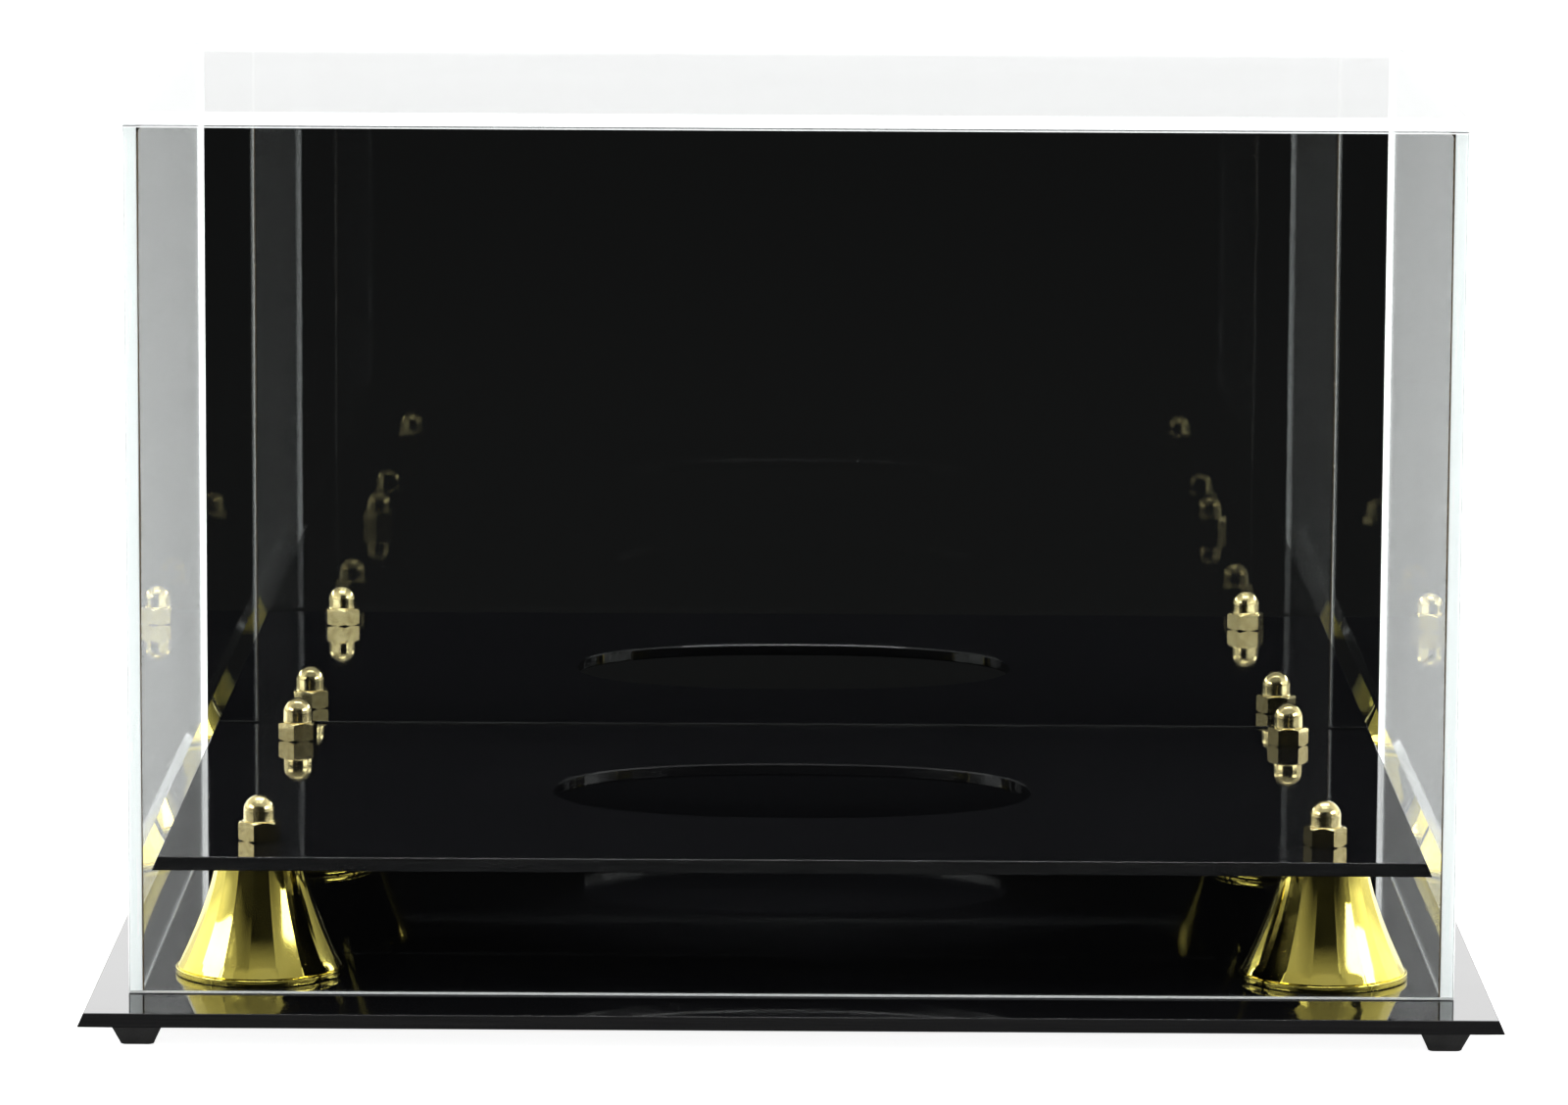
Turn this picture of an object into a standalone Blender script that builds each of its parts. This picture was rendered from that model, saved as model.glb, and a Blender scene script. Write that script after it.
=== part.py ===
"""Display case for a football.

A clear cover with a mirrored back stands on a black base plate. Inside it a second black plate, the deck,
stands on four fluted risers, and an oval cut-out in the deck cradles the ball. A screw runs up through the
base plate, each riser and the deck into an acorn nut.

Metres, +Z up, front towards -Y. The origin lies under the middle of the base plate, level with the feet.
"""

import math

import bmesh
import bpy

# Clear cover: five glued panels
COVER_WIDTH = 0.3025
COVER_DEPTH = 0.1905
COVER_HEIGHT = 0.2016
PANEL_THICKNESS = 0.003
PANEL_EDGE_BREAK = 0.0003
GLUE_GAP = 0.0003

# Mirror sheet on the inside of the back panel
MIRROR_THICKNESS = 0.002
MIRROR_SIDE_GAP = 0.0007
MIRROR_TOP_GAP = 0.0008
MIRROR_EDGE_BREAK = 0.0002

# Base plate: how far it reaches past the cover, and how far its edge slopes in from bottom to top
BASE_THICKNESS = 0.003
BASE_EDGE_SLOPE = 0.00135
FRONT_LEDGE = 0.0232
BACK_LEDGE = 0.0083
SIDE_LEDGE = 0.00975

# Rubber feet, tapering downwards
FOOT_TOP_SIDE = 0.0127
FOOT_BOTTOM_SIDE = 0.0078
FOOT_HEIGHT = 0.0055
FOOT_CORNER_RADIUS = 0.0012
FOOT_INSET = 0.0128

# Deck
DECK_THICKNESS = 0.003
DECK_EDGE_SLOPE = 0.00125
DECK_FRONT_GAP = 0.0012
DECK_BACK_GAP = 0.001
DECK_SIDE_GAP = 0.00215
CUTOUT_LENGTH = 0.114
CUTOUT_WIDTH = 0.072
CUTOUT_SQUARENESS = 2.3

# Risers: hollow bells, narrow at the top
RISER_HEIGHT = 0.0274
RISER_BASE_RADIUS = 0.0195
RISER_TOP_RADIUS = 0.0099
RISER_FLARE = 1.45
RISER_LIP_HEIGHT = 0.0016
RISER_LIP_STEP = 0.0004
RISER_WALL = 0.0014
RISER_CAP_THICKNESS = 0.0025
RISER_INSET = 0.023
FLUTE_COUNT = 18
FLUTE_DEPTH = 0.0004

# Screws and acorn nuts
SCREW_RADIUS = 0.00208
SCREW_HEAD_RADIUS = 0.004
SCREW_HEAD_HEIGHT = 0.0026
SCREW_TIP_CHAMFER = 0.0005
RECESS_SPAN = 0.0044
RECESS_WIDTH = 0.0011
RECESS_DEPTH = 0.0014
THREAD_ENGAGEMENT = 0.0055
NUT_FLATS = 0.0087
NUT_HEX_HEIGHT = 0.0045
NUT_HEIGHT = 0.0102
NUT_SHOULDER = 0.0007
NUT_CHAMFER = 0.0004

# Fits between pieces
SEAT_GAP = 0.0003
HOLE_CLEARANCE = 0.0003
THREAD_CLEARANCE = 0.0003

# Facets of round shapes; turns are in degrees
POINTS_PER_FLUTE = 2
FLUTE_ROWS = 7
HOLLOW_ROWS = 4
HEAD_TURNS = (45, 70, 90)
DOME_TURN = 18
NUT_POINTS = 24
SCREW_POINTS = 20
CUTOUT_POINTS = 72
CORNER_STEPS = 4

BASE_WIDTH = COVER_WIDTH + 2 * SIDE_LEDGE
BASE_DEPTH = COVER_DEPTH + FRONT_LEDGE + BACK_LEDGE
BASE_BOTTOM = FOOT_HEIGHT + SEAT_GAP
BASE_TOP = BASE_BOTTOM + BASE_THICKNESS

COVER_BOTTOM = BASE_TOP + SEAT_GAP
COVER_Y = (FRONT_LEDGE - BACK_LEDGE) / 2
WALL_HEIGHT = COVER_HEIGHT - PANEL_THICKNESS - GLUE_GAP
INNER_WIDTH = COVER_WIDTH - 2 * PANEL_THICKNESS
INNER_FRONT = COVER_Y - COVER_DEPTH / 2 + PANEL_THICKNESS
MIRROR_FACE = COVER_Y + COVER_DEPTH / 2 - PANEL_THICKNESS - GLUE_GAP - MIRROR_THICKNESS

RISER_BOTTOM = BASE_TOP + SEAT_GAP
DECK_BOTTOM = RISER_BOTTOM + RISER_HEIGHT + SEAT_GAP
DECK_TOP = DECK_BOTTOM + DECK_THICKNESS
DECK_WIDTH = INNER_WIDTH - 2 * DECK_SIDE_GAP
DECK_DEPTH = MIRROR_FACE - DECK_BACK_GAP - INNER_FRONT - DECK_FRONT_GAP
DECK_Y = INNER_FRONT + DECK_FRONT_GAP + DECK_DEPTH / 2

NUT_BOTTOM = DECK_TOP + SEAT_GAP
SHANK_LENGTH = NUT_BOTTOM + THREAD_ENGAGEMENT - BASE_BOTTOM + SEAT_GAP
HOLE_RADIUS = SCREW_RADIUS + HOLE_CLEARANCE

CORNERS = {
    "front_left": (-1, -1),
    "front_right": (1, -1),
    "rear_left": (-1, 1),
    "rear_right": (1, 1),
}


def clear_scene():
    for obj in list(bpy.data.objects):
        bpy.data.objects.remove(obj, do_unlink=True)


def make_look(name, colour, roughness, metallic=0.0, transmission=0.0):
    look = bpy.data.materials.new(name)
    look.use_nodes = True
    shader = look.node_tree.nodes["Principled BSDF"]
    shader.inputs["Base Color"].default_value = (*colour, 1)
    shader.inputs["Roughness"].default_value = roughness
    shader.inputs["Metallic"].default_value = metallic
    shader.inputs["Transmission Weight"].default_value = transmission
    return look


def add_object(name, mesh, look, place, parent):
    """Finish a bmesh as an object with outward faces and smooth round surfaces."""
    bmesh.ops.recalc_face_normals(mesh, faces=mesh.faces)
    data = bpy.data.meshes.new(name)
    mesh.to_mesh(data)
    mesh.free()
    data.shade_smooth()
    data.set_sharp_from_angle(angle=math.radians(30))
    if look:
        data.materials.append(look)
    obj = bpy.data.objects.new(name, data)
    obj.location = place
    obj.parent = parent
    bpy.context.scene.collection.objects.link(obj)
    return obj


def add_empty(name, place):
    empty = bpy.data.objects.new(name, None)
    empty.location = place
    bpy.context.scene.collection.objects.link(empty)
    return empty


def ring(radius, height, count):
    """A closed loop of points around +Z. The radius is a number or a function of the angle."""
    reach = radius if callable(radius) else lambda angle: radius
    angles = [2 * math.pi * step / count for step in range(count)]
    return [(reach(a) * math.cos(a), reach(a) * math.sin(a), height) for a in angles]


def pole(height):
    return [(0, 0, height)]


def rectangle(width, depth, height):
    x, y = width / 2, depth / 2
    return [(-x, -y, height), (x, -y, height), (x, y, height), (-x, y, height)]


def cross(span, width, height):
    """The twelve-cornered outline of a plus sign."""
    far, near = span / 2, width / 2
    arm = [(far, -near), (far, near), (near, near)]
    turns = [(1, 0), (0, 1), (-1, 0), (0, -1)]
    return [(x * c - y * s, x * s + y * c, height) for c, s in turns for x, y in arm]


def rounded_square(side, radius, height):
    """A square with a quarter circle at each corner."""
    centre = side / 2 - radius
    points = []
    for quarter in range(4):
        middle = math.pi / 4 + quarter * math.pi / 2
        x = centre * math.copysign(1, math.cos(middle))
        y = centre * math.copysign(1, math.sin(middle))
        for step in range(CORNER_STEPS + 1):
            angle = quarter * math.pi / 2 + step * math.pi / 2 / CORNER_STEPS
            points.append((x + radius * math.cos(angle), y + radius * math.sin(angle), height))
    return points


def bridge(mesh, lower, upper):
    """Join two loops of points with faces. Either loop may be one point."""
    count = max(len(lower), len(upper))
    for i in range(count):
        j = (i + 1) % count
        if len(lower) == 1:
            mesh.faces.new((lower[0], upper[j], upper[i]))
        elif len(upper) == 1:
            mesh.faces.new((lower[i], lower[j], upper[0]))
        else:
            mesh.faces.new((lower[i], lower[j], upper[j], upper[i]))


def loft(loops, ends="caps"):
    """A closed body through loops of points. Its ends are flat caps, poles, or joined to each other."""
    mesh = bmesh.new()
    rows = [[mesh.verts.new(point) for point in loop] for loop in loops]
    for lower, upper in zip(rows, rows[1:]):
        bridge(mesh, lower, upper)
    if ends == "joined":
        bridge(mesh, rows[-1], rows[0])
    elif ends == "caps":
        mesh.faces.new(reversed(rows[0]))
        mesh.faces.new(rows[-1])
    return mesh


def box(width, depth, height, edge_break):
    """A block standing on z = 0 with its edges broken by a small chamfer."""
    mesh = loft([rectangle(width, depth, 0), rectangle(width, depth, height)])
    bmesh.ops.bevel(
        mesh, geom=list(mesh.edges), offset=edge_break, segments=1, affect="EDGES", profile=0.5
    )
    return mesh


def merge_into(mesh, other, offset):
    """Add a copy of another bmesh at an offset, and free it."""
    bmesh.ops.translate(other, verts=other.verts, vec=offset)
    piece = bpy.data.meshes.new("cutter_piece")
    other.to_mesh(piece)
    other.free()
    mesh.from_mesh(piece)
    bpy.data.meshes.remove(piece)


def cut(obj, mesh, name):
    """Subtract a bmesh, given in the object's own coordinates, from an object."""
    cutter = add_object(name, mesh, None, obj.location, obj.parent)
    cutter.hide_render = True
    cutter.display_type = "WIRE"
    modifier = obj.modifiers.new(name, "BOOLEAN")
    modifier.operation = "DIFFERENCE"
    modifier.solver = "EXACT"
    modifier.object = cutter


def screw_places():
    """The four screw axes, measured from the middle of the deck."""
    x = DECK_WIDTH / 2 - RISER_INSET
    y = DECK_DEPTH / 2 - RISER_INSET
    return {corner: (side * x, end * y) for corner, (side, end) in CORNERS.items()}


def screw_holes(thickness, offset_y):
    """Cutters for the four screw holes of a plate that stands on z = 0."""
    mesh = bmesh.new()
    for x, y in screw_places().values():
        hole = loft([ring(HOLE_RADIUS, z, SCREW_POINTS) for z in (-thickness, 2 * thickness)])
        merge_into(mesh, hole, (x, y + offset_y, 0))
    return mesh


def cutout_reach(angle):
    """Radius of the oval cut-out: a superellipse, a little fuller than an ellipse."""
    power = CUTOUT_SQUARENESS
    along = abs(math.cos(angle) / (CUTOUT_LENGTH / 2)) ** power
    across = abs(math.sin(angle) / (CUTOUT_WIDTH / 2)) ** power
    return (along + across) ** (-1 / power)


def build_base_plate(look, parent):
    bottom = rectangle(BASE_WIDTH, BASE_DEPTH, 0)
    top = rectangle(BASE_WIDTH - 2 * BASE_EDGE_SLOPE, BASE_DEPTH - 2 * BASE_EDGE_SLOPE, BASE_THICKNESS)
    plate = add_object("base_plate", loft([bottom, top]), look, (0, 0, BASE_BOTTOM), parent)
    cut(plate, screw_holes(BASE_THICKNESS, DECK_Y), "base_plate_cutter")


def build_deck_plate(look, parent):
    bottom = rectangle(DECK_WIDTH, DECK_DEPTH, 0)
    top = rectangle(DECK_WIDTH - 2 * DECK_EDGE_SLOPE, DECK_DEPTH - 2 * DECK_EDGE_SLOPE, DECK_THICKNESS)
    plate = add_object("deck_plate", loft([bottom, top]), look, (0, DECK_Y, DECK_BOTTOM), parent)
    cutter = screw_holes(DECK_THICKNESS, 0)
    oval = loft([ring(cutout_reach, z, CUTOUT_POINTS) for z in (-DECK_THICKNESS, 2 * DECK_THICKNESS)])
    merge_into(cutter, oval, (0, 0, 0))
    cut(plate, cutter, "deck_plate_cutter")


def riser_radius(height):
    """Radius over the ridges: a bell that flares towards its foot."""
    rise = (height - RISER_LIP_HEIGHT) / (RISER_HEIGHT - RISER_LIP_HEIGHT)
    foot = RISER_BASE_RADIUS - RISER_LIP_STEP
    return RISER_TOP_RADIUS + (foot - RISER_TOP_RADIUS) * (1 - rise) ** RISER_FLARE


def fluted(radius):
    """Reach of a fluted ring: ridges at the radius, and valleys cut in proportion to it."""
    depth = FLUTE_DEPTH * radius / RISER_BASE_RADIUS
    return lambda angle: radius - depth * (1 - abs(math.cos(FLUTE_COUNT * angle / 2)))


def build_riser(corner, place, look, parent):
    count = FLUTE_COUNT * POINTS_PER_FLUTE
    rounding = RISER_LIP_HEIGHT / 4
    loops = [
        ring(RISER_BASE_RADIUS - rounding, 0, count),
        ring(RISER_BASE_RADIUS, rounding, count),
        ring(RISER_BASE_RADIUS, RISER_LIP_HEIGHT - rounding, count),
        ring(RISER_BASE_RADIUS - rounding, RISER_LIP_HEIGHT, count),
    ]
    for step in range(FLUTE_ROWS + 1):
        height = RISER_LIP_HEIGHT + (RISER_HEIGHT - RISER_LIP_HEIGHT) * step / FLUTE_ROWS
        loops.append(ring(fluted(riser_radius(height)), height + (rounding if step == 0 else 0), count))
    cap_bottom = RISER_HEIGHT - RISER_CAP_THICKNESS
    loops.append(ring(HOLE_RADIUS, RISER_HEIGHT, count))
    loops.append(ring(HOLE_RADIUS, cap_bottom, count))
    for step in range(HOLLOW_ROWS + 1):
        height = cap_bottom * (1 - step / HOLLOW_ROWS)
        outside = riser_radius(max(height, RISER_LIP_HEIGHT))
        loops.append(ring(outside - FLUTE_DEPTH - RISER_WALL, height, count))
    add_object(f"riser_{corner}", loft(loops, ends="joined"), look, (*place, RISER_BOTTOM), parent)


def build_screw(corner, place, look, parent):
    """Pan-head screw standing head down, with the underside of its head at z = 0."""
    head = [pole(-SCREW_HEAD_HEIGHT)]
    for turn in HEAD_TURNS:
        angle = math.radians(turn)
        height = -SCREW_HEAD_HEIGHT * math.cos(angle)
        head.append(ring(SCREW_HEAD_RADIUS * math.sin(angle), height, SCREW_POINTS))
    shank = [
        ring(SCREW_RADIUS, 0, SCREW_POINTS),
        ring(SCREW_RADIUS, SHANK_LENGTH - SCREW_TIP_CHAMFER, SCREW_POINTS),
        ring(SCREW_RADIUS - SCREW_TIP_CHAMFER, SHANK_LENGTH, SCREW_POINTS),
        pole(SHANK_LENGTH),
    ]
    mesh = loft(head + shank, ends="poles")
    screw = add_object(f"screw_{corner}", mesh, look, (*place, BASE_BOTTOM - SEAT_GAP), parent)
    recess_ends = (-2 * SCREW_HEAD_HEIGHT, RECESS_DEPTH - SCREW_HEAD_HEIGHT)
    recess = loft([cross(RECESS_SPAN, RECESS_WIDTH, z) for z in recess_ends])
    cut(screw, recess, f"screw_{corner}_recess_cutter")


def hexagon(limit):
    """Reach of a hexagon across NUT_FLATS whose corners are turned down to a limiting radius."""
    sector = math.pi / 3
    return lambda angle: min(limit, NUT_FLATS / 2 / math.cos((angle + sector / 2) % sector - sector / 2))


def build_nut(corner, place, look, parent):
    """Acorn nut with a blind thread hole, standing on z = 0."""
    corner_radius = NUT_FLATS / 2 / math.cos(math.pi / 6)
    dome_radius = NUT_FLATS / 2 - NUT_SHOULDER
    dome_base = NUT_HEIGHT - dome_radius
    bore_radius = SCREW_RADIUS + THREAD_CLEARANCE
    bore_depth = THREAD_ENGAGEMENT + THREAD_CLEARANCE
    turned = hexagon(corner_radius - NUT_CHAMFER)
    full = hexagon(corner_radius)
    loops = [
        pole(bore_depth),
        ring(bore_radius, bore_depth, NUT_POINTS),
        ring(bore_radius, 0, NUT_POINTS),
        ring(turned, 0, NUT_POINTS),
        ring(full, NUT_CHAMFER, NUT_POINTS),
        ring(full, NUT_HEX_HEIGHT - NUT_CHAMFER, NUT_POINTS),
        ring(turned, NUT_HEX_HEIGHT, NUT_POINTS),
        ring(dome_radius, NUT_HEX_HEIGHT, NUT_POINTS),
    ]
    for turn in range(0, 90, DOME_TURN):
        angle = math.radians(turn)
        height = dome_base + dome_radius * math.sin(angle)
        loops.append(ring(dome_radius * math.cos(angle), height, NUT_POINTS))
    loops.append(pole(NUT_HEIGHT))
    mesh = loft(loops, ends="poles")
    add_object(f"acorn_nut_{corner}", mesh, look, (*place, NUT_BOTTOM), parent)


def build_foot(corner, look, parent):
    side, end = CORNERS[corner]
    place = (side * (BASE_WIDTH / 2 - FOOT_INSET), end * (BASE_DEPTH / 2 - FOOT_INSET), 0)
    loops = [
        rounded_square(FOOT_BOTTOM_SIDE, FOOT_CORNER_RADIUS, 0),
        rounded_square(FOOT_TOP_SIDE, FOOT_CORNER_RADIUS, FOOT_HEIGHT),
    ]
    add_object(f"foot_{corner}", loft(loops), look, place, parent)


def build_cover(look, mirror_look, parent):
    """Five panels and the mirror sheet, placed from the middle of the cover's lower edge."""
    side_depth = COVER_DEPTH - 2 * (PANEL_THICKNESS + GLUE_GAP)
    side_x = (COVER_WIDTH - PANEL_THICKNESS) / 2
    face_y = (COVER_DEPTH - PANEL_THICKNESS) / 2
    panels = {
        "front": (COVER_WIDTH, PANEL_THICKNESS, WALL_HEIGHT, (0, -face_y, 0)),
        "back": (COVER_WIDTH, PANEL_THICKNESS, WALL_HEIGHT, (0, face_y, 0)),
        "left": (PANEL_THICKNESS, side_depth, WALL_HEIGHT, (-side_x, 0, 0)),
        "right": (PANEL_THICKNESS, side_depth, WALL_HEIGHT, (side_x, 0, 0)),
        "top": (COVER_WIDTH, COVER_DEPTH, PANEL_THICKNESS, (0, 0, COVER_HEIGHT - PANEL_THICKNESS)),
    }
    for name, (width, depth, height, place) in panels.items():
        add_object(f"cover_{name}_panel", box(width, depth, height, PANEL_EDGE_BREAK), look, place, parent)
    sheet = box(
        INNER_WIDTH - 2 * MIRROR_SIDE_GAP, MIRROR_THICKNESS, WALL_HEIGHT - MIRROR_TOP_GAP, MIRROR_EDGE_BREAK
    )
    sheet_y = MIRROR_FACE + MIRROR_THICKNESS / 2 - COVER_Y
    add_object("mirror_panel", sheet, mirror_look, (0, sheet_y, 0), parent)


def build_case():
    clear_scene()
    black = make_look("black_acrylic", (0.008, 0.008, 0.009), 0.06)
    clear = make_look("clear_acrylic", (0.96, 0.98, 0.98), 0.02, transmission=1.0)
    mirror = make_look("mirror", (0.86, 0.87, 0.88), 0.02, metallic=1.0)
    gold = make_look("gold_plating", (0.86, 0.68, 0.2), 0.08, metallic=1.0)
    brass = make_look("brass", (0.8, 0.62, 0.3), 0.25, metallic=1.0)
    rubber = make_look("rubber", (0.015, 0.015, 0.016), 0.6)

    base = add_empty("base", (0, 0, 0))
    cover = add_empty("cover", (0, COVER_Y, COVER_BOTTOM))
    build_base_plate(black, base)
    build_deck_plate(black, base)
    for corner, (x, y) in screw_places().items():
        place = (x, y + DECK_Y)
        build_riser(corner, place, gold, base)
        build_screw(corner, place, brass, base)
        build_nut(corner, place, brass, base)
        build_foot(corner, rubber, base)
    build_cover(clear, mirror, cover)


build_case()
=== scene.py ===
"""Looks of the football display case.

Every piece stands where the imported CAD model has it: metres, +Z up, front towards -Y.
"""

import math

import bmesh
import bpy
from mathutils import Matrix, Vector


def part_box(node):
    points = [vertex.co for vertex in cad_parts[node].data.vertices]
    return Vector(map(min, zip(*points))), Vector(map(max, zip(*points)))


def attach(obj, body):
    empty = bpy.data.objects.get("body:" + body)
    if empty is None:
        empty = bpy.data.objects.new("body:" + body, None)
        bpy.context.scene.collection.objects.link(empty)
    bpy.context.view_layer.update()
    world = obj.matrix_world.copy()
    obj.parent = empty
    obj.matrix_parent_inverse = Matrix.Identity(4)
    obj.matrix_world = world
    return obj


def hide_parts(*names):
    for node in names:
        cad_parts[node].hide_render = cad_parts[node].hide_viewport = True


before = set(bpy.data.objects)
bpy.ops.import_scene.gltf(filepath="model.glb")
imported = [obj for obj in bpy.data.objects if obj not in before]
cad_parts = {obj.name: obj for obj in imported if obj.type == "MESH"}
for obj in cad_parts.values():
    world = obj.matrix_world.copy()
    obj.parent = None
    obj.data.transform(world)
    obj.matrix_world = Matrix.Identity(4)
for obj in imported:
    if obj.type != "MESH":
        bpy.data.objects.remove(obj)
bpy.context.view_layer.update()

MM = 0.001

# Nodes that are handled alike
WALL_PANELS = ("cover_left_panel", "cover_right_panel")
CORNERS = ("front_left", "front_right", "rear_left", "rear_right")

# Camera, with its angles in degrees and its lens in millimetres
CAMERA_PLACE = (0.00065, -1.77018, 0.36384)
CAMERA_PITCH = 8.532
CAMERA_YAW = 0.096
CAMERA_ROLL = 0.293
CAMERA_LENS = 172.65

# Fine shapes and sizes that the CAD model leaves out. Walls reach down towards the base by the drop.
PANEL_EDGE_RADIUS = 0.25 * MM
PLATE_EDGE_RADIUS = 0.2 * MM
MIRROR_EDGE_RADIUS = 0.15 * MM
WALL_DROP = 0.25 * MM
SEAM_INSET = 0.04 * MM
BEAD_RADIUS = 0.4 * MM
DROP_RADIUS = 1.1 * MM
DROP_LENGTH = 1.43 * MM
CONTACT_GAP = 0.02 * MM
FLUTES = 18
FLUTE_DEPTH = 0.2 * MM
FLUTE_POINTS = 10
RIDGE_SHARPNESS = 0.7
RISER_TOP_RADIUS = 9.9 * MM
RISER_FLARE = 1.45
RISER_WALL = 1.4 * MM
LIP_HEIGHT = 1.6 * MM
LIP_STEP = 0.4 * MM
THREAD_PITCH = 0.794 * MM
THREAD_DEPTH = 0.42 * MM
CLEARANCE_HOLE_RADIUS = 2.4 * MM
OVAL_POWER = 2.3

# Turns about +Z in degrees, in the order of the corners
RISER_TURNS = (6, -2, 11, -7)
NUT_TURNS = (49, 20, 52, 28)

# Studio
FLOOR_RADIUS = 14
WORLD_STRENGTH = 1.25


# Mesh helpers

def ring(radius, height, count, turn=0.0):
    """A closed loop of points round +Z. The radius is a number or a function of the angle."""
    reach = radius if callable(radius) else lambda angle: radius
    angles = [2 * math.pi * step / count + turn for step in range(count)]
    return [(reach(a) * math.cos(a), reach(a) * math.sin(a), height) for a in angles]


def bridge(mesh, lower, upper):
    """Join two loops of vertices with faces. Either loop may be one vertex."""
    count = max(len(lower), len(upper))
    made = []
    for i in range(count):
        j = (i + 1) % count
        if len(lower) == 1:
            corners = (lower[0], upper[j], upper[i])
        elif len(upper) == 1:
            corners = (lower[i], lower[j], upper[0])
        else:
            corners = (lower[i], lower[j], upper[j], upper[i])
        made.append(mesh.faces.new(corners))
    return made


def loft(loops, ends="caps"):
    """A closed body through loops of points. Its ends are flat caps, poles, or joined to each other."""
    mesh = bmesh.new()
    rows = [[mesh.verts.new(point) for point in loop] for loop in loops]
    for lower, upper in zip(rows, rows[1:]):
        bridge(mesh, lower, upper)
    if ends == "joined":
        bridge(mesh, rows[-1], rows[0])
    elif ends == "caps":
        mesh.faces.new(reversed(rows[0]))
        mesh.faces.new(rows[-1])
    bmesh.ops.recalc_face_normals(mesh, faces=mesh.faces)
    for face in mesh.faces:
        face.smooth = True
    return mesh


def rectangle(width, depth, height):
    x, y = width / 2, depth / 2
    return [(-x, -y, height), (x, -y, height), (x, y, height), (-x, y, height)]


def block(extent):
    """A box round the origin."""
    x, y, z = extent
    return loft([rectangle(x, y, -z / 2), rectangle(x, y, z / 2)])


def round_edges(mesh, radius, segments=4):
    """Round every edge that is sharper than 30 degrees. The faces in between stay dead flat."""
    flats = [face.normal.copy() for face in mesh.faces]
    sharp = [edge for edge in mesh.edges if edge.calc_face_angle(0) > math.radians(30)]
    bmesh.ops.bevel(
        mesh, geom=sharp, offset=radius, segments=segments, affect="EDGES", profile=0.5, clamp_overlap=True
    )
    mesh.normal_update()
    for face in mesh.faces:
        face.smooth = all(face.normal.dot(flat) < 0.9998 for flat in flats)


def mesh_data(name, mesh, looks, smooth_angle=30):
    data = bpy.data.meshes.new(name)
    smooth = [face.smooth for face in mesh.faces]
    mesh.to_mesh(data)
    mesh.free()
    for look in looks:
        data.materials.append(look)
    data.set_sharp_from_angle(angle=math.radians(smooth_angle))
    data.polygons.foreach_set("use_smooth", smooth)
    return data


def place_piece(name, data, place, body, node=None, turn=0):
    """Put a piece in the scene on its CAD body. It stands for the CAD node, if one is given."""
    piece = bpy.data.objects.new(name, data)
    piece.location = place
    piece.rotation_euler.z = math.radians(turn)
    bpy.context.scene.collection.objects.link(piece)
    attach(piece, body)
    if node:
        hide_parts(node)
    return piece


def carve(mesh, cutters):
    """The mesh with the cutters' volumes taken out."""
    data = mesh_data("carved", mesh, [])
    body = bpy.data.objects.new("carved", data)
    bpy.context.scene.collection.objects.link(body)
    tools = []
    for index, cutter in enumerate(cutters):
        tool = bpy.data.objects.new("carver", mesh_data("carver", cutter, []))
        bpy.context.scene.collection.objects.link(tool)
        modifier = body.modifiers.new(f"carve_{index}", "BOOLEAN")
        modifier.operation = "DIFFERENCE"
        modifier.solver = "EXACT"
        modifier.object = tool
        tools.append(tool)
    bpy.context.view_layer.update()
    evaluated = body.evaluated_get(bpy.context.evaluated_depsgraph_get())
    result = bmesh.new()
    result.from_mesh(evaluated.to_mesh())
    evaluated.to_mesh_clear()
    for obj in [body, *tools]:
        bpy.data.objects.remove(obj, do_unlink=True)
    return result


def middle(node):
    low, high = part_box(node)
    return (low + high) / 2


def size(node):
    low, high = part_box(node)
    return high - low


# Material helpers

def new_tree(name):
    look = bpy.data.materials.new(name)
    look.use_nodes = True
    look.node_tree.nodes.clear()
    return look, look.node_tree


def add(tree, kind, inputs=None, **settings):
    """Add a node. An input's value is a number, a colour or another node's output."""
    node = tree.nodes.new(kind)
    for key, value in settings.items():
        setattr(node, key, value)
    for key, value in (inputs or {}).items():
        if isinstance(value, bpy.types.NodeSocket):
            tree.links.new(value, node.inputs[key])
        else:
            node.inputs[key].default_value = value
    return node


def object_coordinates(tree, scale=(1, 1, 1)):
    """The piece's own coordinates in metres, stretched where a scale is given."""
    coordinates = add(tree, "ShaderNodeTexCoord")
    if scale == (1, 1, 1):
        return coordinates.outputs["Object"]
    stretched = add(tree, "ShaderNodeMapping", {"Vector": coordinates.outputs["Object"], "Scale": scale})
    return stretched.outputs["Vector"]


def noise(tree, where, scale, detail=2.0, roughness=0.5):
    """A noise pattern from 0 to 1."""
    inputs = {"Vector": where, "Scale": scale, "Detail": detail, "Roughness": roughness}
    return add(tree, "ShaderNodeTexNoise", inputs).outputs["Fac"]


def spread(tree, value, low, high, to_low, to_high):
    """Map a value from one range to another, clamped."""
    inputs = {"Value": value, "From Min": low, "From Max": high, "To Min": to_low, "To Max": to_high}
    return add(tree, "ShaderNodeMapRange", inputs, clamp=True).outputs["Result"]


def combine(tree, operation, first, second):
    return add(tree, "ShaderNodeMath", {0: first, 1: second}, operation=operation).outputs[0]


def blend_colours(tree, share, first, second):
    """Go from the first colour to the second as the share goes from 0 to 1, and on past them."""
    mix = add(tree, "ShaderNodeMix", {"Factor": share}, data_type="RGBA", clamp_factor=False)
    for index, colour in ((6, first), (7, second)):
        if isinstance(colour, bpy.types.NodeSocket):
            tree.links.new(colour, mix.inputs[index])
        else:
            mix.inputs[index].default_value = (*colour, 1)
    return mix.outputs[2]


def bump(tree, height, distance):
    return add(tree, "ShaderNodeBump", {"Height": height, "Distance": distance}).outputs["Normal"]


def output(tree, shader):
    add(tree, "ShaderNodeOutputMaterial", {"Surface": shader})


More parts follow.
